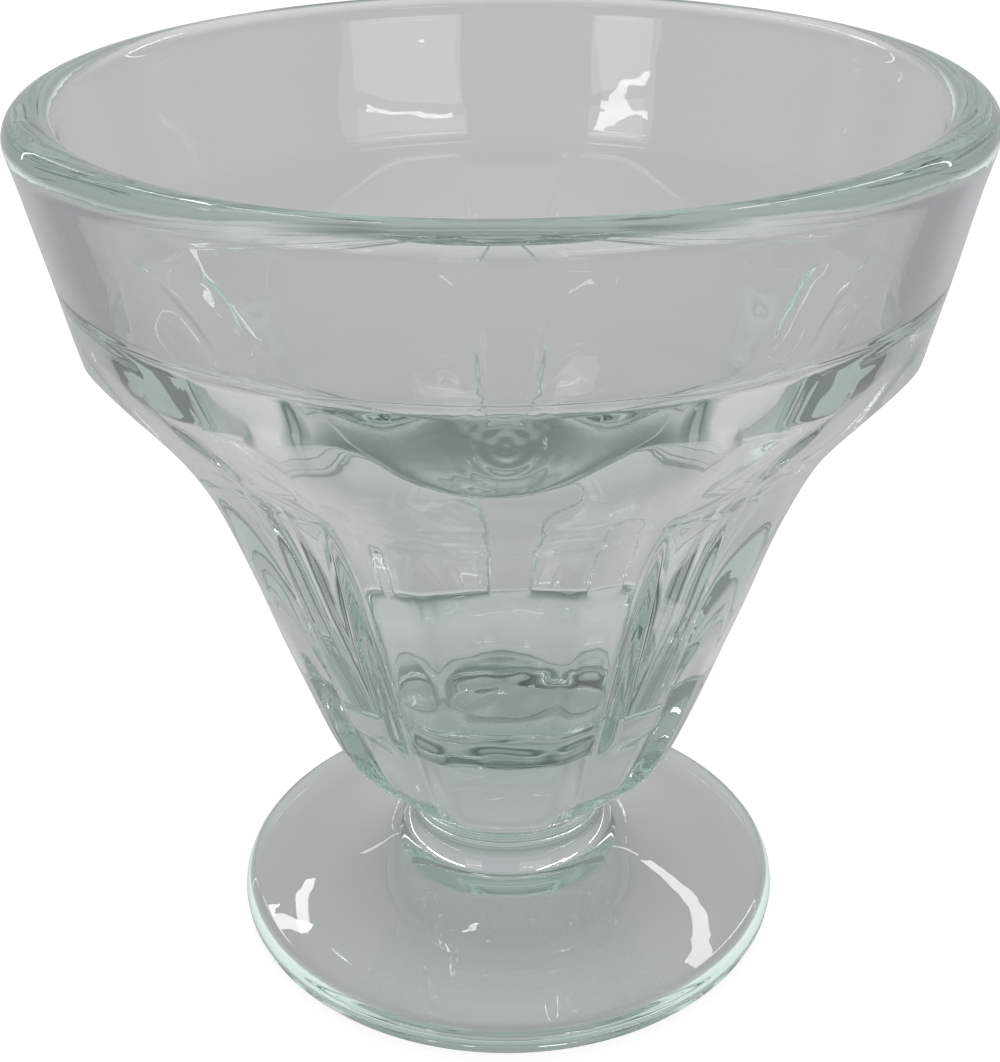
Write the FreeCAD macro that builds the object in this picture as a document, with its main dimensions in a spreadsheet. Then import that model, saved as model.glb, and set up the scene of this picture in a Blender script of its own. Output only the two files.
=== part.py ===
import FreeCAD, Part
import math
import os
import Sketcher
from FreeCAD import Placement, Rotation, Vector

# A pressed sherbet glass in one piece: a round foot, a short neck, a bowl with five crowned
# petals and a flat rib between each two, and a plain flared band with a rounded lip.
# +Z is up, the origin is the middle of the foot's resting plane, and one petal faces -Y.

SIZES = (
    ("mouth_radius", 44.4, "outside of the lip"),
    ("total_height", 90.0, "foot to lip"),
    ("lip_width", 4.8, "glass across the lip"),
    ("lip_round", 2.3, "outer rounding of the lip"),
    ("lip_inner_round", 2.3, "inner rounding of the lip"),
    ("band_slope", 0.22, "how far the band leans out for each mm up"),
    ("band_height", 15.2, "lip down to the inner shoulder"),
    ("inner_wall_drop", 2.4, "how much narrower the inside is at that shoulder"),
    ("foot_radius", 29.5, "outside of the foot"),
    ("foot_edge", 3.4, "thickness of the foot at its rounded edge"),
    ("rest_width", 2.2, "width of the ring that the glass stands on"),
    ("foot_hollow", 2.0, "depth of the hollow under the foot"),
    ("foot_cone_height", 6.8, "top of the foot's shallow cone"),
    ("foot_cone_radius", 14.0, "radius there"),
    ("foot_sweep", 60.0, "radius of the foot's slightly hollow top"),
    ("neck_radius", 10.5, "narrow place of the neck"),
    ("neck_height", 11.0, "height of that place"),
    ("neck_sweep", 5.5, "radius of the curves above and below it"),
    ("base_height", 14.5, "height at which the bowl starts on the neck"),
    ("base_radius", 10.8, "radius there"),
    ("belly_length", 2.9, "how far up the bowl's underside stays rounded"),
    ("bowl_height", 24.0, "a height on the lower bowl, above that rounding"),
    ("bowl_radius", 19.8, "radius there"),
    ("flare_slope", 0.33, "lean of the lower bowl for each mm up"),
    ("ledge_depth", 30.8, "lip down to where the petals bend out"),
    ("ledge_slope", 1.03, "lean of the ledge above that bend"),
    ("ledge_bend", 3.4, "length over which it bends"),
    ("ledge_run", 12.0, "height below the ledge in which ribs and shoulders take shape"),
    ("petal_count", 5.0, "petals round the bowl"),
    ("rib_half_angle", 6.8, "half the angle that a rib takes"),
    ("rib_wall_angle", 1.8, "angle that a rib's side wall takes"),
    ("rib_rise", 2.3, "how much higher a rib's ledge starts than a petal's"),
    ("valley_depth", 1.5, "how far a petal falls off beside the rib"),
    ("valley_run", 6.0, "height over which that begins, from the bowl's start"),
    ("rib_foot", 26.5, "height at which the ribs rise out of the valleys"),
    ("rib_foot_run", 5.0, "height over which they do"),
    ("crown_half_angle", 13.0, "half angle of a petal that stays at full radius"),
    ("hem_depth", 18.2, "lip down to the hem beside the ribs"),
    ("tongue_half_angle", 19.0, "half angle of the tongue in the middle of a petal"),
    ("tongue_drop", 5.0, "how far the tongue hangs below the rest of the hem"),
    ("shoulder_lean", 0.24, "how much more than the band the petals' shoulder leans"),
    ("corner_round", 0.2, "softness of the bend into that shoulder at the tongue"),
    ("shoulder_round", 0.5, "how much softer that bend is beside the tongue"),
    ("cavity_floor", 26.0, "height of the bowl's inner bottom"),
    ("floor_radius", 14.3, "radius of the inner bottom's corner"),
    ("floor_bend", 10.0, "rounding of that corner"),
    ("waist_radius", 27.6, "inside of the bowl where it starts to widen"),
    ("waist_depth", 30.0, "lip down to that place"),
    ("waist_bend", 20.0, "rounding there"),
    ("shoulder_bend", 1.6, "rounding of the inner shoulder"),
)

# Heights of the level cuts through the petals, as shares of the underside, of the lower bowl and
# of the ledge. They stand closer together where the form turns.
UNDERSIDE_CUTS = (0.0, 0.12, 0.28, 0.50, 0.78)
BOWL_CUTS = (0.05, 0.14, 0.22, 0.36, 0.56, 0.76, 0.91)
LEDGE_CUTS = (0.04, 0.16, 0.28, 0.38, 0.48, 0.60, 0.78, 1.0)

# Spans between the points of a petal's curve.
CURVE_STEPS = 10

# How far a cutting shape reaches past the glass, in mm.
CLEARANCE = 1.0

# Lengths below this count as nothing, in mm.
NOTHING = 1e-6


def make_sheet(doc):
    """The driving sizes, in mm and degrees, one named cell each."""
    sheet = doc.addObject("Spreadsheet::Sheet", "Sizes")
    for row, (name, value, note) in enumerate(SIZES, start=1):
        sheet.set(f"A{row}", name)
        sheet.set(f"B{row}", str(value))
        sheet.set(f"C{row}", note)
        sheet.setAlias(f"B{row}", name)
    doc.recompute()
    return sheet


def origin_plane(body, role):
    return next(item for item in body.Origin.OriginFeatures if item.Role == role)


def new_sketch(body, name, role):
    sketch = body.newObject("Sketcher::SketchObject", name)
    sketch.AttachmentSupport = [(origin_plane(body, role), "")]
    sketch.MapMode = "FlatFace"
    return sketch


def draw_profile(sketch, sheet, corners, bends, rounds):
    """A closed half-section through the axis.

    corners are (radius, height) expressions in order round the outline. bends gives, for the edge
    that leaves a corner, the radius of its arc and the side to which it bulges. rounds gives the
    radius that takes off a corner between two straight edges.
    """
    count = len(corners)
    places = []
    for across, up in corners:
        places.append(Vector(sheet.evalExpression(across), sheet.evalExpression(up), 0))
    leaving = list(places)
    arriving = list(places)
    arc_middles = {}
    for corner, radius_text in rounds.items():
        radius = sheet.evalExpression(radius_text)
        place = places[corner]
        back = (places[corner - 1] - place).normalize()
        ahead = (places[(corner + 1) % count] - place).normalize()
        half_turn = back.getAngle(ahead) / 2
        arriving[corner] = place + back * (radius / math.tan(half_turn))
        leaving[corner] = place + ahead * (radius / math.tan(half_turn))
        inward = (back + ahead).normalize()
        arc_middles[corner] = place + inward * (radius / math.sin(half_turn) - radius)

    # The outline as a chain of edges, each with its ends in the order of the outline.
    chain = []
    for corner in range(count):
        if corner in rounds:
            arc = turning_arc(arriving[corner], arc_middles[corner], leaving[corner])
            chain.append((sketch.addGeometry(arc, False), arriving[corner], corner, "round"))
        start = leaving[corner]
        end = arriving[(corner + 1) % count]
        if corner in bends:
            radius_text, side = bends[corner]
            radius = sheet.evalExpression(radius_text)
            chord = end - start
            sagitta = radius - math.sqrt(radius * radius - chord.Length * chord.Length / 4)
            outward = Vector(chord.y, -chord.x, 0).normalize()
            middle = (start + end) * 0.5 + outward * (side * sagitta)
            arc = turning_arc(start, middle, end)
            chain.append((sketch.addGeometry(arc, False), start, corner, "bend"))
        else:
            line = Part.LineSegment(start, end)
            chain.append((sketch.addGeometry(line, False), start, corner, "line"))

    for place_in_chain, (edge, start, corner, kind) in enumerate(chain):
        before = chain[place_in_chain - 1]
        first = first_end(sketch, edge, start)
        last = 3 - first_end(sketch, before[0], before[1])
        joint = "Tangent" if "round" in (kind, before[3]) else "Coincident"
        sketch.addConstraint(Sketcher.Constraint(joint, before[0], last, edge, first))
        if kind == "round":
            place = places[corner]
            point = sketch.addGeometry(Part.Point(place), True)
            following = chain[place_in_chain + 1][0]
            sketch.addConstraint(Sketcher.Constraint("PointOnObject", point, 1, before[0]))
            sketch.addConstraint(Sketcher.Constraint("PointOnObject", point, 1, following))
            bind_place(sketch, point, 1, place, *corners[corner])
            bind_radius(sketch, sheet, edge, rounds[corner])
        elif corner not in rounds:
            bind_place(sketch, edge, first, places[corner], *corners[corner])
        if kind == "bend":
            bind_radius(sketch, sheet, edge, bends[corner][0])


def turning_arc(start, middle, end):
    """The arc through three points, always drawn anticlockwise, as a sketch keeps its arcs."""
    clockwise = (middle - start).cross(end - start).z < 0
    return Part.Arc(end, middle, start) if clockwise else Part.Arc(start, middle, end)


def first_end(sketch, edge, start):
    """1 or 2: the end of an edge that lies at start."""
    return 1 if (sketch.Geometry[edge].StartPoint - start).Length < NOTHING else 2


def bind_radius(sketch, sheet, edge, text):
    index = sketch.addConstraint(Sketcher.Constraint("Radius", edge, sheet.evalExpression(text)))
    sketch.setExpression(f"Constraints[{index}]", text)


def bind_place(sketch, edge, end, place, across, up):
    """Ties one corner of the outline to the sheet; a zero coordinate ties it to the axis instead."""
    for kind, text, value, axis in (("DistanceX", across, place.x, -2), ("DistanceY", up, place.y, -1)):
        if abs(value) < NOTHING:
            sketch.addConstraint(Sketcher.Constraint("PointOnObject", edge, end, axis))
            continue
        index = sketch.addConstraint(Sketcher.Constraint(kind, -1, 1, edge, end, value))
        sketch.setExpression(f"Constraints[{index}]", text)


def ease(value, start, end):
    """0 before start, 1 after end, and a smooth S between them."""
    share = min(max((value - start) / (end - start), 0.0), 1.0)
    return share * share * (3.0 - 2.0 * share)


def meet(first, second, softness):
    """The smaller of two radii, with their crossing rounded off."""
    apart = abs(first - second) / softness
    return min(first, second) - softness * math.log1p(math.exp(-apart))


class PetalForm:
    """The outside of the petals and ribs, as a radius for each height and angle."""

    def __init__(self, sheet):
        for name, _, _ in SIZES:
            setattr(self, name, float(sheet.get(name)))
        self.ledge_height = self.total_height - self.ledge_depth
        self.hem_height = self.total_height - self.hem_depth
        self.petal_top = self.total_height - self.band_height
        self.pitch = 360.0 / self.petal_count
        self.petal_half_angle = self.pitch / 2 - self.rib_half_angle - self.rib_wall_angle

    def meridian(self, height):
        """Radius of the bowl: a rounded underside, a gentle lean, and a bend into the ledge."""
        lean = self.bowl_radius + self.flare_slope * (height - self.bowl_height)
        start = self.bowl_radius + self.flare_slope * (self.base_height - self.bowl_height)
        under = math.exp((self.base_height - height) / self.belly_length)
        past = (height - self.ledge_height) / self.ledge_bend
        extra = self.ledge_slope - self.flare_slope
        bend = self.ledge_bend * math.log1p(math.exp(past))
        return lean - (start - self.base_radius) * under + extra * bend

    def lift(self, height):
        """How far the ribs have dropped back: not at all low on the bowl, fully at the ledge."""
        return ease(height, self.ledge_height - self.ledge_run, self.ledge_height)

    def band(self, height):
        """Radius of the band's cone."""
        return self.mouth_radius - self.band_slope * (self.total_height - self.lip_round - height)

    def petal(self, height, angle):
        """Radius on a petal, at an angle from its middle. The flare turns over into a shoulder
        that meets the band at the hem, which hangs down as a tongue in the petal's middle."""
        beside = ease(abs(angle), 0.0, self.tongue_half_angle)
        hem = self.hem_height - self.tongue_drop * (1.0 - beside)
        below = max(height - hem, -self.ledge_run)
        shoulder = self.band(height) + self.shoulder_lean * below
        softness = self.corner_round + self.shoulder_round * beside
        radius = meet(self.meridian(height), shoulder, softness)
        fades = 1.0 - ease(height, self.ledge_height, self.hem_height)
        side = ease(abs(angle), self.crown_half_angle, self.petal_half_angle)
        return radius - self.valley(height) * side * fades

    def valley(self, height):
        """How deep the valleys between the petals are."""
        return self.valley_depth * ease(height, self.base_height, self.base_height + self.valley_run)

    def rib(self, height):
        """Radius of a rib's flat face, which rises out of the valley at its foot."""
        risen = ease(height, self.rib_foot, self.rib_foot + self.rib_foot_run)
        face = self.meridian(height - self.rib_rise * self.lift(height))
        return face - self.valley(height) * (1.0 - risen)


def polar(radius, degrees):
    """A point in a level section, with the angle counted from -Y towards +X."""
    turn = math.radians(degrees)
    return Vector(radius * math.sin(turn), -radius * math.cos(turn), 0)


def petal_section(body, form, name, height):
    """One level cut through the petals: a curve for each petal, an arc for each rib's face
    and a short straight wall between the two."""
    sketch = new_sketch(body, name, "XY_Plane")
    sketch.AttachmentOffset = Placement(Vector(0, 0, height), Rotation())
    half = form.petal_half_angle
    knots = [step / CURVE_STEPS for step in range(CURVE_STEPS + 1)]
    for petal in range(int(round(form.petal_count))):
        middle = petal * form.pitch
        points = []
        for knot in knots:
            angle = half * (2.0 * knot - 1.0)
            points.append(polar(form.petal(height, angle), middle + angle))
        curve = Part.BSplineCurve()
        curve.interpolate(Points=points, Parameters=knots)
        sketch.addGeometry(curve, False)
        face = form.rib(height)
        near = polar(face, middle + half + form.rib_wall_angle)
        crown = polar(face, middle + form.pitch / 2)
        far = polar(face, middle + form.pitch - half - form.rib_wall_angle)
        following = polar(form.petal(height, -half), middle + form.pitch - half)
        sketch.addGeometry(Part.LineSegment(points[-1], near), False)
        sketch.addGeometry(Part.Arc(near, crown, far), False)
        sketch.addGeometry(Part.LineSegment(far, following), False)
    return sketch


def add_petals(body, form):
    """The petals and ribs, lofted up past the hem, where the band's cone cuts them off."""
    base = form.base_height
    low = form.bowl_height
    ledge = form.ledge_height
    top = form.petal_top
    heights = [base + share * (low - base) for share in UNDERSIDE_CUTS]
    heights += [low + share * (ledge - low) for share in BOWL_CUTS]
    heights += [ledge + share * (top - ledge) for share in LEDGE_CUTS]
    sections = []
    for index, height in enumerate(heights):
        sections.append(petal_section(body, form, f"PetalSection{index}", height))
    loft = body.newObject("PartDesign::AdditiveLoft", "Petals")
    loft.Profile = sections[0]
    loft.Sections = sections[1:]
    loft.Ruled = False
    loft.Closed = False
    return loft


def add_turned(body, sheet, kind, name, corners, bends=None, rounds=None):
    """A turned feature, from its closed half-section."""
    sketch = new_sketch(body, name + "Profile", "XZ_Plane")
    draw_profile(sketch, sheet, corners, bends or {}, rounds or {})
    turned = body.newObject(kind, name)
    turned.Profile = sketch
    turned.ReferenceAxis = (sketch, ["V_Axis"])
    turned.Angle = 360.0
    return turned


def make_glass(doc, sheet):
    """The whole glass as one solid."""
    form = PetalForm(sheet)
    body = doc.addObject("PartDesign::Body", "SherbetGlass")
    body.Label = "sherbet_glass"
    add_petals(body, form)
    doc.recompute()

    cone = "Sizes.mouth_radius - Sizes.band_slope * (Sizes.total_height - Sizes.lip_round - {})"
    trim_start = "Sizes.total_height - Sizes.ledge_depth"
    petal_top = "Sizes.total_height - Sizes.band_height"
    trim_low = cone.format(f"({trim_start})")
    trim_high = cone.format(f"({petal_top})")
    trim_end = cone.format(f"({petal_top} + {CLEARANCE})")
    beyond = "2 * Sizes.mouth_radius"

    # The band's cone cuts the flaring petals, which leaves the wavy hem with its tongues.
    add_turned(
        body,
        sheet,
        "PartDesign::Groove",
        "BandTrim",
        [
            (trim_low, trim_start),
            (beyond, trim_start),
            (beyond, f"{petal_top} + {CLEARANCE}"),
            (trim_end, f"{petal_top} + {CLEARANCE}"),
        ],
    )

    rest_outer = "Sizes.foot_radius - Sizes.foot_edge / 2"
    rest_inner = rest_outer + " - Sizes.rest_width"
    dome = f"(({rest_inner})^2 + Sizes.foot_hollow^2) / (2 * Sizes.foot_hollow)"
    add_turned(
        body,
        sheet,
        "PartDesign::Revolution",
        "Foot",
        [
            ("0", "Sizes.foot_hollow"),
            (rest_inner, "0"),
            (rest_outer, "0"),
            ("Sizes.foot_radius", "Sizes.foot_edge / 2"),
            (rest_outer, "Sizes.foot_edge"),
            ("Sizes.foot_cone_radius", "Sizes.foot_cone_height"),
            ("Sizes.neck_radius", "Sizes.neck_height"),
            ("Sizes.base_radius", "Sizes.base_height"),
            ("0", "Sizes.base_height"),
        ],
        bends={
            0: (dome, -1),
            2: ("Sizes.foot_edge / 2", 1),
            3: ("Sizes.foot_edge / 2", 1),
            4: ("Sizes.foot_sweep", -1),
            5: ("Sizes.neck_sweep", -1),
            6: ("Sizes.neck_sweep", -1),
        },
    )

    add_turned(
        body,
        sheet,
        "PartDesign::Revolution",
        "Band",
        [
            ("0", petal_top),
            (trim_high, petal_top),
            ("Sizes.mouth_radius", "Sizes.total_height - Sizes.lip_round"),
            ("Sizes.mouth_radius - Sizes.lip_round", "Sizes.total_height"),
            ("0", "Sizes.total_height"),
        ],
        bends={2: ("Sizes.lip_round", 1)},
    )

    mouth_inner = "Sizes.mouth_radius - Sizes.lip_width"
    above = f"Sizes.total_height + {CLEARANCE}"
    add_turned(
        body,
        sheet,
        "PartDesign::Groove",
        "Cavity",
        [
            ("0", "Sizes.cavity_floor"),
            ("Sizes.floor_radius", "Sizes.cavity_floor"),
            ("Sizes.waist_radius", "Sizes.total_height - Sizes.waist_depth"),
            (mouth_inner + " - Sizes.inner_wall_drop", petal_top),
            (mouth_inner, "Sizes.total_height - Sizes.lip_inner_round"),
            (mouth_inner + " + Sizes.lip_inner_round", "Sizes.total_height"),
            (mouth_inner + " + Sizes.lip_inner_round", above),
            ("0", above),
        ],
        bends={4: ("Sizes.lip_inner_round", -1)},
        rounds={
            1: "Sizes.floor_bend",
            2: "Sizes.waist_bend",
            3: "Sizes.shoulder_bend",
        },
    )
    return body


def main():
    doc = FreeCAD.newDocument("Sherbet")
    sheet = make_sheet(doc)
    glass = make_glass(doc, sheet)
    doc.recompute()
    for item in doc.Objects:
        if "Invalid" in item.State or "Error" in item.State:
            raise RuntimeError(f"{item.Name} did not build: {item.State}")
    if glass.Shape.isNull() or not glass.Shape.isValid():
        raise RuntimeError("the glass has no valid shape")
    os.makedirs("parts", exist_ok=True)
    glass.Shape.exportStep(f"parts/{glass.Label}.step")
    print("solids", len(glass.Shape.Solids), "volume", round(glass.Shape.Volume), glass.Shape.BoundBox)


main()
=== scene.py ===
import math

import bpy
import numpy as np
from mathutils import Matrix, Quaternion, Vector


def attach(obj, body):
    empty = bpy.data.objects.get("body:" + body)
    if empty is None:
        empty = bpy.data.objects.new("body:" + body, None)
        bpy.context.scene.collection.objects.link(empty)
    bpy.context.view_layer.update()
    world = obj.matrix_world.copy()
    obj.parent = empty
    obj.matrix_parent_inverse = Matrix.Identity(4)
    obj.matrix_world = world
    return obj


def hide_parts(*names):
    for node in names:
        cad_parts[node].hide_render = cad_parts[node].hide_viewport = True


# A pressed sherbet glass on a pale floor, seen from a little above its rim.
# Lengths are in millimetres, as in the part's own sheet of sizes, and become metres in the mesh.

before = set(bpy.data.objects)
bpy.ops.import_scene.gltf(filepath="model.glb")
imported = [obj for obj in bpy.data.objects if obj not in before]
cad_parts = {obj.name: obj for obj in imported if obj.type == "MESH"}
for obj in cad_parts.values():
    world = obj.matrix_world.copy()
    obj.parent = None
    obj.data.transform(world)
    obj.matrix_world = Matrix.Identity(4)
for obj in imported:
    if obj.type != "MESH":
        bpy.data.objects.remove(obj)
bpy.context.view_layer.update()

MM = 0.001

# The outline of the glass, with the part's own names and values.
MOUTH_RADIUS = 44.4
TOTAL_HEIGHT = 90.0
LIP_WIDTH = 4.8
LIP_ROUND = 2.3
LIP_INNER_ROUND = 2.3
BAND_SLOPE = 0.22
BAND_HEIGHT = 15.2
INNER_WALL_DROP = 2.4
FOOT_RADIUS = 29.5
FOOT_EDGE = 3.4
REST_WIDTH = 2.2
FOOT_HOLLOW = 2.0
FOOT_CONE_HEIGHT = 6.8
FOOT_CONE_RADIUS = 14.0
FOOT_SWEEP = 60.0
NECK_RADIUS = 10.5
NECK_HEIGHT = 11.0
NECK_SWEEP = 5.5
BASE_HEIGHT = 14.5
BASE_RADIUS = 10.8
BELLY_LENGTH = 2.9
BOWL_HEIGHT = 24.0
BOWL_RADIUS = 19.8
FLARE_SLOPE = 0.33
LEDGE_HEIGHT = 59.2
LEDGE_SLOPE = 1.03
LEDGE_BEND = 3.4
LEDGE_RUN = 12.0
CAVITY_FLOOR = 26.0
FLOOR_RADIUS = 14.3
FLOOR_BEND = 10.0
WAIST_RADIUS = 27.6
WAIST_HEIGHT = 60.0
WAIST_BEND = 20.0
SHOULDER_BEND = 1.6

# The petals, the ribs between them and the wavy hem.
PETAL_COUNT = 5
RIB_HALF_ANGLE = 6.8
RIB_WALL_ANGLE = 1.8
RIB_RISE = 2.3
VALLEY_DEPTH = 1.5
VALLEY_RUN = 6.0
RIB_FOOT = 26.5
RIB_FOOT_RUN = 5.0
CROWN_HALF_ANGLE = 13.0
TONGUE_HALF_ANGLE = 19.0
TONGUE_DROP = 5.0
HEM_HEIGHT = 71.8
SHOULDER_LEAN = 0.24
CORNER_ROUND = 0.2
SHOULDER_ROUND = 0.5
PITCH = 360.0 / PETAL_COUNT
PETAL_HALF_ANGLE = PITCH / 2 - RIB_HALF_ANGLE - RIB_WALL_ANGLE

# Softness of the hem, where the band's cone cuts off the petals and ribs.
HEM_ROUND = 0.06

# Columns of the mesh across a petal, a rib's side wall and a rib.
PETAL_COLUMNS = 36
RIB_WALL_COLUMNS = 4
RIB_COLUMNS = 8

# Rings of the mesh between two shares of the way from the bowl's start up to the hem.
PETAL_RINGS = ((0.0, 0.12, 16), (0.12, 0.74, 44), (0.74, 1.0, 42))

# How far below the hem's height those rings cross a rib.
RIB_RING_DROP = 1.0

# Rings of the band, and the power that crowds them towards the hem.
BAND_RINGS = 26
BAND_CROWDING = 1.3

# The moulded wall is never quite even: the size of its waves, how far they are drawn in so that
# the wall stays close to the solid, and what is left of them inside.
RIPPLE = 0.035
RIPPLE_INSET = 0.056
INSIDE_SHARE = 0.35

# Those waves: turns round the glass, radians for each mm up, phase and share.
WALL_WAVES = (
    (7, 0.21, 0.0, 1.0),
    (13, -0.33, 1.1, 0.7),
    (4, 0.55, 2.3, 0.6),
    (19, 0.12, 0.0, 0.4),
)

# They die away between these two depths below the lip, which the fire made smooth.
WAVES_END = 6.0
SMOOTH_LIP = 2.5

# The bowl's inner bottom rises and falls as well, in waves 4 to 8 mm long: their size, and
# radians for each mm across and along, phase and share of each.
FLOOR_WAVE = 0.07
FLOOR_WAVES = (
    (1.10, 0.45, 0.6, 1.0),
    (0.35, -1.25, 1.9, 1.0),
    (1.50, -0.80, 0.0, 0.8),
    (0.0, 0.80, 0.9, 0.6),
)

# They die away between these two heights above the inner bottom.
FLOOR_WAVES_END = 2.0
SMOOTH_WALL = 9.0


def ease(value, start, end):
    """0 before start, 1 after end, and the smooth S 3t^2 - 2t^3 between them."""
    share = np.clip((value - start) / (end - start), 0.0, 1.0)
    return share * share * (3.0 - 2.0 * share)


def meet(first, second, width):
    """The smaller of two radii, with their crossing rounded off over about width."""
    return first - width * np.logaddexp(0.0, (first - second) / width)


def band_cone(height):
    """Radius of the plain band's flaring outside, a straight line up to the lip."""
    return MOUTH_RADIUS - BAND_SLOPE * (TOTAL_HEIGHT - LIP_ROUND - height)


def meridian(height):
    """Radius of the bowl: a straight lean, less an exponential for the rounded underside, and
    with a softened bend into the steeper lean of the ledge."""
    lean = BOWL_RADIUS + FLARE_SLOPE * (height - BOWL_HEIGHT)
    start = BOWL_RADIUS + FLARE_SLOPE * (BASE_HEIGHT - BOWL_HEIGHT)
    under = np.exp((BASE_HEIGHT - height) / BELLY_LENGTH)
    bend = LEDGE_BEND * np.logaddexp(0.0, (height - LEDGE_HEIGHT) / LEDGE_BEND)
    return lean - (start - BASE_RADIUS) * under + (LEDGE_SLOPE - FLARE_SLOPE) * bend


def valley(height):
    """Depth of the valleys between the petals."""
    return VALLEY_DEPTH * ease(height, BASE_HEIGHT, BASE_HEIGHT + VALLEY_RUN)


def lift(height):
    """How far the ribs have dropped back: not at all low on the bowl, fully at the ledge."""
    return ease(height, LEDGE_HEIGHT - LEDGE_RUN, LEDGE_HEIGHT)


def hem_height(away):
    """Height of the wavy hem: lowest in the middle of a petal, where the tongue hangs."""
    return HEM_HEIGHT - TONGUE_DROP * (1.0 - ease(away, 0.0, TONGUE_HALF_ANGLE))


def petal_radius(height, away):
    """Radius on a petal, at an angle away from its middle: the flare up to the hem, where it
    turns over into a shoulder that is crisp at the tongue and soft beside it."""
    below = np.maximum(height - hem_height(away), -LEDGE_RUN)
    limit = band_cone(height) + SHOULDER_LEAN * below
    width = CORNER_ROUND + SHOULDER_ROUND * ease(away, 0.0, TONGUE_HALF_ANGLE)
    radius = meet(meridian(height), limit, width)
    fades = 1.0 - ease(height, LEDGE_HEIGHT, HEM_HEIGHT)
    side = ease(away, CROWN_HALF_ANGLE, PETAL_HALF_ANGLE)
    return radius - valley(height) * side * fades


def rib_radius(height):
    """Radius of a rib's flat face, which rises out of the valley at its foot."""
    risen = ease(height, RIB_FOOT, RIB_FOOT + RIB_FOOT_RUN)
    return meridian(height - RIB_RISE * lift(height)) - valley(height) * (1.0 - risen)


def rib_share(away):
    """0 on a petal, 1 on a rib, and an S between them on the rib's side wall."""
    return ease(away, PETAL_HALF_ANGLE, PETAL_HALF_ANGLE + RIB_WALL_ANGLE)


def outside_radius(height, away):
    """Radius of the petals and ribs, cut off by the band's cone."""
    share = rib_share(away)
    body = petal_radius(height, away) * (1.0 - share) + rib_radius(height) * share
    return meet(body, band_cone(height), HEM_ROUND)


def arc(start, end, radius, side, count):
    """Points (radius, height) from start up to but without end, on an arc that bulges to side:
    the arc's middle, and from there the radius turned step by step."""
    start = np.array(start, float)
    end = np.array(end, float)
    chord = end - start
    length = np.hypot(*chord)
    across = np.array([chord[1], -chord[0]]) / length
    half_turn = math.asin(length / 2 / radius)
    centre = (start + end) / 2 - across * side * radius * math.cos(half_turn)
    turn = np.linspace(-half_turn, half_turn, count, endpoint=False)[:, None]
    return centre + radius * (side * across * np.cos(turn) + chord / length * np.sin(turn))


def line(start, end, count):
    """Points on a straight line from start up to but without end."""
    share = np.linspace(0.0, 1.0, count, endpoint=False)[:, None]
    return np.array(start, float) * (1.0 - share) + np.array(end, float) * share


def rounded(before, corner, after, radius, count):
    """An arc of that radius across the corner of two straight lines, between the two places where
    a rounding would touch them, and those places. It bulges away from the corner, while the
    solid's rounding bulges towards it."""
    corner = np.array(corner, float)
    back = np.array(before, float) - corner
    ahead = np.array(after, float) - corner
    back /= np.hypot(*back)
    ahead /= np.hypot(*ahead)
    half = math.acos(float(back @ ahead)) / 2
    first = corner + back * radius / math.tan(half)
    last = corner + ahead * radius / math.tan(half)
    side = 1.0 if back[0] * ahead[1] - back[1] * ahead[0] > 0 else -1.0
    return first, arc(first, last, radius, side, count), last


def foot_profile():
    """The turned part below the petals, from the middle of the hollow under the foot."""
    edge = FOOT_EDGE / 2
    rest_outer = FOOT_RADIUS - edge
    rest_inner = rest_outer - REST_WIDTH
    dome = (rest_inner ** 2 + FOOT_HOLLOW ** 2) / (2 * FOOT_HOLLOW)
    return np.concatenate([
        arc((0, FOOT_HOLLOW), (rest_inner, 0), dome, -1, 14)[1:],
        line((rest_inner, 0), (rest_outer, 0), 3),
        arc((rest_outer, 0), (FOOT_RADIUS, edge), edge, 1, 6),
        arc((FOOT_RADIUS, edge), (rest_outer, FOOT_EDGE), edge, 1, 6),
        arc((rest_outer, FOOT_EDGE), (FOOT_CONE_RADIUS, FOOT_CONE_HEIGHT), FOOT_SWEEP, -1, 14),
        arc((FOOT_CONE_RADIUS, FOOT_CONE_HEIGHT), (NECK_RADIUS, NECK_HEIGHT), NECK_SWEEP, -1, 10),
        arc((NECK_RADIUS, NECK_HEIGHT), (BASE_RADIUS, BASE_HEIGHT), NECK_SWEEP, -1, 10),
    ])


def lip_and_cavity_profile():
    """From the top of the band's outside over the lip and down the inside to its bottom."""
    inner = MOUTH_RADIUS - LIP_WIDTH
    crown = (MOUTH_RADIUS - LIP_ROUND, TOTAL_HEIGHT)
    verge = (inner + LIP_INNER_ROUND, TOTAL_HEIGHT)
    wall_top = (inner, TOTAL_HEIGHT - LIP_INNER_ROUND)
    shoulder = (inner - INNER_WALL_DROP, TOTAL_HEIGHT - BAND_HEIGHT)
    waist = (WAIST_RADIUS, WAIST_HEIGHT)
    corner = (FLOOR_RADIUS, CAVITY_FLOOR)
    middle = (0.0, CAVITY_FLOOR)
    above_shoulder, shoulder_arc, below_shoulder = rounded(
        wall_top, shoulder, waist, SHOULDER_BEND, 8
    )
    above_waist, waist_arc, below_waist = rounded(shoulder, waist, corner, WAIST_BEND, 12)
    above_floor, floor_arc, on_floor = rounded(waist, corner, middle, FLOOR_BEND, 16)
    return np.concatenate([
        arc((MOUTH_RADIUS, TOTAL_HEIGHT - LIP_ROUND), crown, LIP_ROUND, 1, 8),
        line(crown, verge, 1),
        arc(verge, wall_top, LIP_INNER_ROUND, 1, 8),
        line(wall_top, above_shoulder, 14),
        shoulder_arc,
        line(below_shoulder, above_waist, 14),
        waist_arc,
        line(below_waist, above_floor, 30),
        floor_arc,
        line(on_floor, middle, 5),
    ])


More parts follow.
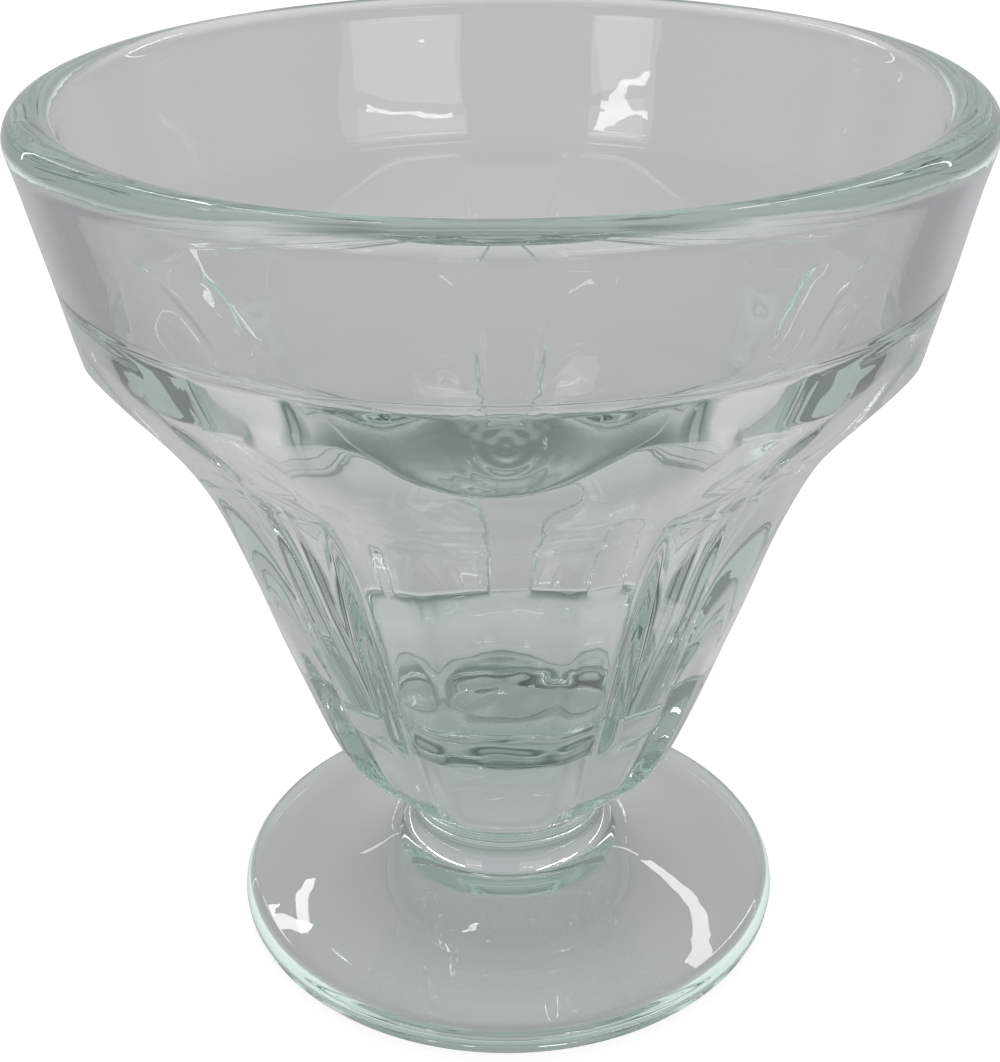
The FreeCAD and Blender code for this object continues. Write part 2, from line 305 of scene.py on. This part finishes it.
def columns():
    """Angles of the mesh's columns, from -Y towards +X: even steps across a petal, a rib's side
    wall, the rib and its other wall, once for each petal."""
    petal = PETAL_HALF_ANGLE
    rib = petal + RIB_WALL_ANGLE
    pitch = np.concatenate([
        np.linspace(-petal, petal, PETAL_COLUMNS, endpoint=False),
        np.linspace(petal, rib, RIB_WALL_COLUMNS, endpoint=False),
        np.linspace(rib, PITCH - rib, RIB_COLUMNS, endpoint=False),
        np.linspace(PITCH - rib, PITCH - petal, RIB_WALL_COLUMNS, endpoint=False),
    ])
    return (pitch + PITCH * np.arange(PETAL_COUNT)[:, None]).ravel()


def glass_grid():
    """Radius, height and angle of every point, in rings from the middle of the foot's underside
    over the outside, the lip and the inside to the middle of its bottom. After them come the
    numbers of the first ring on the petals and of the first on the lip."""
    angle = columns()
    away = np.abs((angle + PITCH / 2) % PITCH - PITCH / 2)
    foot = foot_profile()
    top = lip_and_cavity_profile()

    # The petals' rings follow the hem, so that it is a clean line of edges.
    on_rib = rib_share(away)
    hem = hem_height(away) * (1.0 - on_rib) + (HEM_HEIGHT - RIB_RING_DROP) * on_rib
    stretches = [np.linspace(*stretch, endpoint=False) for stretch in PETAL_RINGS]
    petal_heights = BASE_HEIGHT + np.concatenate(stretches)[:, None] * (hem - BASE_HEIGHT)
    band_top = TOTAL_HEIGHT - LIP_ROUND
    risen = np.linspace(0.0, 1.0, BAND_RINGS, endpoint=False)[:, None] ** BAND_CROWDING
    heights = np.concatenate([petal_heights, hem + risen * (band_top - hem)])
    radii = outside_radius(heights, away)

    flat = np.ones_like(angle)
    all_radii = np.concatenate([foot[:, :1] * flat, radii, top[:, :1] * flat])
    all_heights = np.concatenate([foot[:, 1:] * flat, heights, top[:, 1:] * flat])
    return all_radii, all_heights, angle, len(foot), len(foot) + len(heights)


def waves(across, along, kinds):
    """A sum of sine waves over two coordinates, each with two rates, a phase and a share."""
    return sum(share * np.sin(a * across + b * along + phase) for a, b, phase, share in kinds)


def uneven_points():
    """The rings' points in mm, with the wall's radius and the inner bottom's height each moved by
    their own waves. The foot and the neck stay plain."""
    radii, heights, angle, first_petal, first_lip = glass_grid()
    wall = np.zeros_like(radii)
    wall[first_petal:] = 1.0
    wall[first_lip:] = INSIDE_SHARE
    fade = ease(heights, BASE_HEIGHT, BASE_HEIGHT + VALLEY_RUN)
    fade = fade * (1.0 - ease(heights, TOTAL_HEIGHT - WAVES_END, TOTAL_HEIGHT - SMOOTH_LIP))
    turn = np.radians(angle)
    ripple = RIPPLE_INSET + RIPPLE * waves(turn, heights, WALL_WAVES)
    radii = radii - ripple * fade * wall

    across = radii * np.sin(turn)
    along = -radii * np.cos(turn)
    inside = np.zeros_like(radii)
    inside[first_lip:] = 1.0
    low = 1.0 - ease(heights, CAVITY_FLOOR + FLOOR_WAVES_END, CAVITY_FLOOR + SMOOTH_WALL)
    rise = waves(across, along, FLOOR_WAVES) - waves(0.0, 0.0, FLOOR_WAVES)
    return np.stack([across, along, heights + FLOOR_WAVE * rise * low * inside], axis=-1)


def build_glass():
    """One closed skin: the rings joined by quads, and a fan at each pole."""
    points = uneven_points()
    rings, count, _ = points.shape
    poles = np.array([[0.0, 0.0, FOOT_HOLLOW], [0.0, 0.0, CAVITY_FLOOR]])
    points = np.concatenate([points.reshape(-1, 3), poles]) * MM

    column = np.arange(count)
    beside = (column + 1) % count
    ring = np.arange(rings - 1)[:, None] * count
    above = ring + count
    quads = np.stack([ring + column, ring + beside, above + beside, above + column], -1)
    quads = quads.reshape(-1, 4)
    last = (rings - 1) * count
    under = np.full(count, rings * count)
    bottom = under + 1
    fan_under = np.stack([under, beside, column], -1)
    fan_inside = np.stack([last + column, last + beside, bottom], -1)

    mesh = bpy.data.meshes.new("sherbet_glass_clear")
    faces = quads.tolist() + fan_under.tolist() + fan_inside.tolist()
    mesh.from_pydata(points.tolist(), [], faces)
    mesh.validate()
    mesh.polygons.foreach_set("use_smooth", np.ones(len(mesh.polygons), bool))
    mesh.update()
    glass = bpy.data.objects.new("sherbet_glass_clear", mesh)
    bpy.context.collection.objects.link(glass)
    return glass


def srgb(code):
    """A colour such as 8FA39C, as sRGB, turned into the linear values that shaders take."""
    channels = [int(code[place:place + 2], 16) / 255 for place in (0, 2, 4)]
    linear = [c / 12.92 if c <= 0.04045 else ((c + 0.055) / 1.055) ** 2.4 for c in channels]
    return (*linear, 1.0)


def add_node(tree, kind, values=None, links=None, stops=(), **settings):
    """A node with its settings, the values of its sockets and links {socket: output}, and for a
    colour ramp its stops (place, colour)."""
    node = tree.nodes.new(kind)
    for name, value in settings.items():
        setattr(node, name, value)
    for socket, value in (values or {}).items():
        node.inputs[socket].default_value = value
    for socket, output in (links or {}).items():
        tree.links.new(output, node.inputs[socket])
    if stops:
        elements = node.color_ramp.elements
        elements[0].position, elements[1].position = stops[0][0], stops[-1][0]
        for place, _ in stops[1:-1]:
            elements.new(place)
        for element, (_, colour) in zip(elements, stops):
            element.color = colour
    return node


def new_material(name):
    material = bpy.data.materials.new(name)
    material.use_nodes = True
    material.node_tree.nodes.clear()
    return material, material.node_tree


# Soda glass, whose skin is all but colourless. Its tint and the tint's strength for each metre
# of glass show where it is thick.
GLASS_IOR = 1.52
GLASS_SKIN = "FCFEFD"
GLASS_TINT = "A9C5BE"
TINT_DENSITY = 13.0

# Chill ripples from the mould bend the lights' reflections: their spacing and full depth in mm,
# and the share of that depth that the surface takes.
CHILL_SPACING = 5.88
CHILL_DEPTH = 0.4
CHILL_STRENGTH = 0.045

# Where the plunger chilled the front petal's tongue, faint rings lie round a point: that point,
# their spacing and full depth, and the distances between which they die away, in mm, and the
# share of that depth that the surface takes.
RING_MIDDLE = (1.2, -40.8, 72.2)
RING_SPACING = 1.2
RING_DEPTH = 0.06
RING_FADE_START = 1.0
RING_FADE_END = 7.5
RING_STRENGTH = 0.12

# The renderer ends a ray at its fourth mirroring, in black. One that the wall mirrors wholly
# even then is trapped, and there the glass gives off a painted glow of the room's grey instead.
LAST_MIRRORING = 3.5
WHOLLY_MIRRORED = 0.99
PAINTED_GLOW_GREY = "C2C7C5"

# How strong that painted glow is at each height: full on the foot and from the upper band to the
# lip, weaker on the bowl.
PAINTED_GLOW_BY_HEIGHT = (
    (0.0, 1.00), (15.0, 0.85), (20.0, 0.56), (60.0, 0.52),
    (66.0, 0.38), (73.5, 0.40), (78.0, 1.00), (90.0, 1.00),
)


def clear_pressed_glass():
    """Clear pressed soda glass: polished by fire, faintly grey-green where it is thick, with a
    painted glow where the renderer would leave a trapped ray black.
    """
    material, tree = new_material("clear_pressed_glass")
    place = add_node(tree, "ShaderNodeTexCoord").outputs["Object"]

    ripple = add_node(
        tree, "ShaderNodeTexNoise",
        {"Scale": 1.0 / (CHILL_SPACING * MM), "Detail": 2.0, "Roughness": 0.5},
        {"Vector": place},
    )
    rippled = add_node(
        tree, "ShaderNodeBump",
        {"Strength": CHILL_STRENGTH, "Distance": CHILL_DEPTH * MM},
        {"Height": ripple.outputs["Fac"]},
    )

    # The rings are a sine of the distance from their middle, which fades with that distance.
    middle = add_node(
        tree, "ShaderNodeVectorMath", {1: [part * MM for part in RING_MIDDLE]}, {0: place},
        operation="DISTANCE",
    )
    turns = add_node(
        tree, "ShaderNodeMath", {1: 2 * math.pi / (RING_SPACING * MM)},
        {0: middle.outputs["Value"]},
        operation="MULTIPLY",
    )
    wave = add_node(tree, "ShaderNodeMath", links={0: turns.outputs[0]}, operation="SINE")
    near = add_node(
        tree, "ShaderNodeMapRange",
        {
            "From Min": RING_FADE_START * MM,
            "From Max": RING_FADE_END * MM,
            "To Min": 1.0,
            "To Max": 0.0,
        },
        {"Value": middle.outputs["Value"]},
        interpolation_type="SMOOTHSTEP",
    )
    rings = add_node(
        tree, "ShaderNodeMath", links={0: wave.outputs[0], 1: near.outputs["Result"]},
        operation="MULTIPLY",
    )
    bump = add_node(
        tree, "ShaderNodeBump",
        {"Strength": RING_STRENGTH, "Distance": RING_DEPTH * MM},
        {"Height": rings.outputs[0], "Normal": rippled.outputs["Normal"]},
    )

    # Painted glow: where a ray is still wholly mirrored inside the wall at the last mirroring, the
    # glass gives off the room's grey, standing in for the light that is lost there.
    rays = add_node(tree, "ShaderNodeLightPath")
    spent = add_node(
        tree, "ShaderNodeMath", {1: LAST_MIRRORING}, {0: rays.outputs["Glossy Depth"]},
        operation="GREATER_THAN",
    )
    mirrored = add_node(
        tree, "ShaderNodeFresnel", {"IOR": GLASS_IOR}, {"Normal": bump.outputs["Normal"]},
    )
    wholly = add_node(
        tree, "ShaderNodeMath", {1: WHOLLY_MIRRORED}, {0: mirrored.outputs[0]},
        operation="GREATER_THAN",
    )
    trapped = add_node(
        tree, "ShaderNodeMath", links={0: spent.outputs[0], 1: wholly.outputs[0]},
        operation="MULTIPLY",
    )
    height = add_node(tree, "ShaderNodeSeparateXYZ", links={"Vector": place}).outputs["Z"]
    level = add_node(
        tree, "ShaderNodeMapRange", {"From Min": 0.0, "From Max": TOTAL_HEIGHT * MM},
        {"Value": height},
    )
    share = add_node(
        tree, "ShaderNodeValToRGB", links={"Fac": level.outputs["Result"]},
        stops=[(up / TOTAL_HEIGHT, (light, light, light, 1.0)) for up, light in PAINTED_GLOW_BY_HEIGHT],
    )
    # Painted glow strength: the trapped rays' mask times the glow for that height.
    painted_glow = add_node(
        tree, "ShaderNodeMath", links={0: trapped.outputs[0], 1: share.outputs["Color"]},
        operation="MULTIPLY",
    )
    # The painted glow goes into the glass's emission.
    surface = add_node(
        tree, "ShaderNodeBsdfPrincipled",
        {
            "Base Color": srgb(GLASS_SKIN),
            "Roughness": 0.0,
            "IOR": GLASS_IOR,
            "Transmission Weight": 1.0,
            "Emission Color": srgb(PAINTED_GLOW_GREY),
        },
        {"Normal": bump.outputs["Normal"], "Emission Strength": painted_glow.outputs[0]},
    )
    depth = add_node(
        tree, "ShaderNodeVolumeAbsorption",
        {"Color": srgb(GLASS_TINT), "Density": TINT_DENSITY},
    )
    add_node(
        tree, "ShaderNodeOutputMaterial",
        links={"Surface": surface.outputs["BSDF"], "Volume": depth.outputs["Volume"]},
    )
    return material


# The paper's own grey, and the white that it adds for the camera alone.
PAPER_GREY = "B6B8B8"
CAMERA_GLOW = 0.82

# Painted shade under the foot, for rays from the glass: the room's light left there, faintly
# green, and the radii between which it comes back.
PAINTED_FOOT_SHADE = "D6DAD8"
SHADE_START = 28.0
SHADE_END = 50.0

# The sheet's width, and how far it lies below the foot so that the two don't touch.
FLOOR_WIDTH = 3000.0
FLOOR_DROP = 0.2


def pale_paper():
    """Matt paper: white to the camera apart from the glass's shadow. A ray that the glass has bent
    or mirrored passes it, and meets the room's grey instead, dimmed near the foot by a painted
    shade."""
    material, tree = new_material("pale_paper")
    rays = add_node(tree, "ShaderNodeLightPath")
    paper = add_node(tree, "ShaderNodeBsdfDiffuse", {"Color": srgb(PAPER_GREY)})
    direct = add_node(
        tree, "ShaderNodeMath", {1: CAMERA_GLOW}, {0: rays.outputs["Is Camera Ray"]},
        operation="MULTIPLY",
    )
    glow = add_node(
        tree, "ShaderNodeEmission", {"Color": srgb("FFFFFF")}, {"Strength": direct.outputs[0]},
    )
    lit = add_node(tree, "ShaderNodeAddShader", links={0: paper.outputs[0], 1: glow.outputs[0]})
    # Painted shade: near the foot, rays from the glass pass the paper dimmed and faintly green,
    # standing in for the glass's shadow on it.
    place = add_node(tree, "ShaderNodeTexCoord").outputs["Object"]
    away = add_node(tree, "ShaderNodeVectorMath", links={0: place}, operation="LENGTH")
    shade = add_node(
        tree, "ShaderNodeMapRange",
        {"From Min": SHADE_START * MM, "From Max": SHADE_END * MM},
        {"Value": away.outputs["Value"]},
        interpolation_type="SMOOTHSTEP",
    )
    painted_shade = add_node(
        tree, "ShaderNodeValToRGB", links={"Fac": shade.outputs["Result"]},
        stops=((0.0, srgb(PAINTED_FOOT_SHADE)), (1.0, srgb("FFFFFF"))),
    )
    beyond = add_node(tree, "ShaderNodeBsdfTransparent", links={"Color": painted_shade.outputs["Color"]})
    from_glass = add_node(
        tree, "ShaderNodeMath",
        links={0: rays.outputs["Is Transmission Ray"], 1: rays.outputs["Is Glossy Ray"]},
        operation="MAXIMUM",
    )
    either = add_node(
        tree, "ShaderNodeMixShader",
        links={0: from_glass.outputs[0], 1: lit.outputs[0], 2: beyond.outputs[0]},
    )
    add_node(tree, "ShaderNodeOutputMaterial", links={"Surface": either.outputs[0]})
    return material


def add_floor():
    bpy.ops.mesh.primitive_plane_add(size=FLOOR_WIDTH * MM, location=(0.0, 0.0, -FLOOR_DROP * MM))
    floor = bpy.context.object
    floor.name = "paper_floor"
    floor.data.materials.append(pale_paper())


# The room's grey by height, from straight down (0) over eye level (0.5) to straight up (1).
ROOM = (
    (0.0, "C6CAC9"), (0.013, "BABFBD"), (0.021, "838D8A"), (0.033, "89928F"),
    (0.052, "A3ACAA"), (0.08, "DCDCDC"), (0.15, "D9D9D9"), (0.25, "BEBEBF"),
    (0.37, "C2C2C3"), (1.0, "C6C6C7"),
)

# A direction is a unit vector. What is left of the grey on both sides, and the lengths of its
# sideways part between which the grey falls off.
SIDE_LIGHT = 0.68
SIDE_START = 0.42
SIDE_END = 0.74

# How much of it is lost towards the camera's side.
FRONT_FALL = 0.35

# What is left of it low down on that side, the lengths of the backward part between which it
# comes back, and the heights, as in ROOM, between which that shade ends.
FRONT_FLOOR_LIGHT = 0.34
FRONT_FLOOR_START = -0.30
FRONT_FLOOR_END = 0.12
LOW_START = 0.15
LOW_END = 0.22


def add_world():
    """A grey room, darkest a little off straight down, dimmer at the sides and towards the
    camera, and white where the camera sees it directly."""
    world = bpy.data.worlds.new("studio")
    bpy.context.scene.world = world
    world.use_nodes = True
    tree = world.node_tree
    tree.nodes.clear()
    direction = add_node(tree, "ShaderNodeTexCoord").outputs["Generated"]
    split = add_node(tree, "ShaderNodeSeparateXYZ", links={"Vector": direction})
    upward = add_node(
        tree, "ShaderNodeMapRange", {"From Min": -1.0, "From Max": 1.0},
        {"Value": split.outputs["Z"]},
    )
    grey = add_node(
        tree, "ShaderNodeValToRGB", links={"Fac": upward.outputs["Result"]},
        stops=[(height, srgb(code)) for height, code in ROOM],
    )
    across = add_node(tree, "ShaderNodeMath", links={0: split.outputs["X"]}, operation="ABSOLUTE")
    beside = add_node(
        tree, "ShaderNodeMapRange",
        {"From Min": SIDE_START, "From Max": SIDE_END, "To Min": 1.0, "To Max": SIDE_LIGHT},
        {"Value": across.outputs[0]},
        interpolation_type="SMOOTHSTEP",
    )
    ahead = add_node(
        tree, "ShaderNodeMath", {1: 0.0}, {0: split.outputs["Y"]},
        operation="MINIMUM",
    )
    squared = add_node(
        tree, "ShaderNodeMath", links={0: ahead.outputs[0], 1: ahead.outputs[0]},
        operation="MULTIPLY",
    )
    fall = add_node(
        tree, "ShaderNodeMath", {1: -FRONT_FALL},
        {0: squared.outputs[0], 2: beside.outputs["Result"]},
        operation="MULTIPLY_ADD",
    )
    nearer = add_node(
        tree, "ShaderNodeMapRange",
        {
            "From Min": FRONT_FLOOR_START,
            "From Max": FRONT_FLOOR_END,
            "To Min": FRONT_FLOOR_LIGHT,
            "To Max": 1.0,
        },
        {"Value": split.outputs["Y"]},
        interpolation_type="SMOOTHSTEP",
    )
    higher = add_node(
        tree, "ShaderNodeMapRange", {"From Min": LOW_START, "From Max": LOW_END},
        {"Value": upward.outputs["Result"]},
    )
    shaded = add_node(
        tree, "ShaderNodeMath",
        links={0: nearer.outputs["Result"], 1: higher.outputs["Result"]},
        operation="MAXIMUM",
    )
    strength = add_node(
        tree, "ShaderNodeMath", links={0: fall.outputs[0], 1: shaded.outputs[0]},
        operation="MULTIPLY",
    )
    room = add_node(
        tree, "ShaderNodeBackground",
        links={"Color": grey.outputs["Color"], "Strength": strength.outputs[0]},
    )
    white = add_node(tree, "ShaderNodeBackground", {"Color": srgb("FFFFFF")})
    rays = add_node(tree, "ShaderNodeLightPath")
    seen = add_node(
        tree, "ShaderNodeMixShader",
        links={0: rays.outputs["Is Camera Ray"], 1: room.outputs[0], 2: white.outputs[0]},
    )
    add_node(tree, "ShaderNodeOutputWorld", links={"Surface": seen.outputs[0]})


# Height above the floor at which the lamps aim, in metres.
AIM_HEIGHT = 0.05


def add_panel(name, azimuth, elevation, distance, size, brightness, turn=0.0):
    """A rectangular lamp that faces the glass, placed by the direction in which it lies: azimuth
    from the back (+Y) towards +X, and elevation, in degrees. Its distance is in metres, its
    width and height in degrees, and a turn leans its top towards greater azimuth."""
    lamp = bpy.data.lights.new(name, "AREA")
    lamp.shape = "RECTANGLE"
    lamp.size = 2 * distance * math.tan(math.radians(size[0] / 2))
    lamp.size_y = 2 * distance * math.tan(math.radians(size[1] / 2))
    lamp.energy = brightness * math.pi * lamp.size * lamp.size_y
    panel = bpy.data.objects.new(name, lamp)
    bpy.context.collection.objects.link(panel)
    level = distance * math.cos(math.radians(elevation))
    panel.location = (
        level * math.sin(math.radians(azimuth)),
        level * math.cos(math.radians(azimuth)),
        AIM_HEIGHT + distance * math.sin(math.radians(elevation)),
    )
    facing = (Vector((0.0, 0.0, AIM_HEIGHT)) - panel.location).to_track_quat("-Z", "Y")
    panel.rotation_euler = (facing @ Quaternion((0.0, 0.0, 1.0), math.radians(turn))).to_euler()


def add_lights():
    """Two windows in front with a narrow lamp across each, whose mirror images lie on the far
    inside wall, narrow lamps behind, which draw the bright lines on the foot, and two overhead."""
    add_panel("window_right", 150.0, 13.0, 1.2, (33.0, 18.0), 1.1)
    add_panel("window_left", -145.0, 13.0, 1.2, (18.0, 18.0), 1.3)
    add_panel("lamp_right", 152.0, 15.5, 1.15, (22.0, 0.8), 8.0)
    add_panel("lamp_left", -146.0, 13.5, 1.15, (16.0, 0.8), 8.0)
    add_panel("strip_right_a", 29.0, 42.0, 1.0, (2.2, 16.0), 7.0, turn=-41.0)
    add_panel("strip_right_b", 48.0, 28.5, 1.0, (1.0, 24.0), 5.0, turn=-56.0)
    add_panel("strip_left_a", -29.2, 39.5, 1.0, (1.3, 8.4), 8.0, turn=12.0)
    add_panel("strip_left_b", -26.5, 41.0, 1.0, (1.3, 6.4), 8.0, turn=-30.0)
    add_panel("strip_left_c", -21.5, 46.5, 1.0, (1.0, 18.0), 9.0, turn=22.0)
    add_panel("strip_left_d", -44.0, 20.0, 1.0, (0.9, 28.0), 4.0, turn=33.0)
    add_panel("overhead_left", -140.0, 68.0, 1.2, (12.0, 1.5), 5.0)
    add_panel("overhead_right", 140.0, 68.0, 1.2, (12.0, 1.5), 5.0)


# The camera's place, worked out from the ellipses of the rim and the foot: its distance from the
# axis, its height, and how far it has moved round the glass, in degrees.
CAMERA_DISTANCE = 160.1
CAMERA_HEIGHT = 126.8
CAMERA_ROUND = 1.5

# How far it looks down, past the axis and askew, in degrees.
CAMERA_PITCH = 27.35
CAMERA_YAW = -0.19
CAMERA_ROLL = -0.61

# Its focal length and the photograph's height, both in the photograph's pixels, and the height
# of its sensor and the nearest thing that it sees, in mm.
FOCAL_LENGTH = 1754.0
PHOTO_HEIGHT = 1062.0
SENSOR_HEIGHT = 36.0
NEAREST = 10.0


def add_camera():
    """At the photograph's place: 127 mm up, 160 mm from the axis, looking 27 degrees down."""
    data = bpy.data.cameras.new("photo_view")
    camera = bpy.data.objects.new("photo_view", data)
    bpy.context.collection.objects.link(camera)
    turn = math.radians(CAMERA_ROUND)
    pitch = math.radians(CAMERA_PITCH)
    yaw = math.radians(CAMERA_YAW) - turn
    roll = math.radians(CAMERA_ROLL)
    level = math.cos(pitch)
    forward = Vector((math.sin(yaw) * level, math.cos(yaw) * level, -math.sin(pitch)))
    right = forward.cross(Vector((0, 0, 1))).normalized()
    up = right.cross(forward)
    rolled_right = right * math.cos(roll) + up * math.sin(roll)
    rolled_up = up * math.cos(roll) - right * math.sin(roll)
    camera.rotation_euler = Matrix((rolled_right, rolled_up, -forward)).transposed().to_euler()
    camera.location = (
        CAMERA_DISTANCE * MM * math.sin(turn),
        -CAMERA_DISTANCE * MM * math.cos(turn),
        CAMERA_HEIGHT * MM,
    )
    data.sensor_fit = "VERTICAL"
    data.sensor_height = SENSOR_HEIGHT
    data.lens = FOCAL_LENGTH / PHOTO_HEIGHT * SENSOR_HEIGHT
    data.clip_start = NEAREST * MM
    bpy.context.scene.camera = camera


glass = build_glass()
glass.data.materials.append(clear_pressed_glass())
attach(glass, "root")
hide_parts("sherbet_glass")

add_floor()
add_world()
add_lights()
add_camera()
bpy.context.scene.view_settings.view_transform = "Standard"
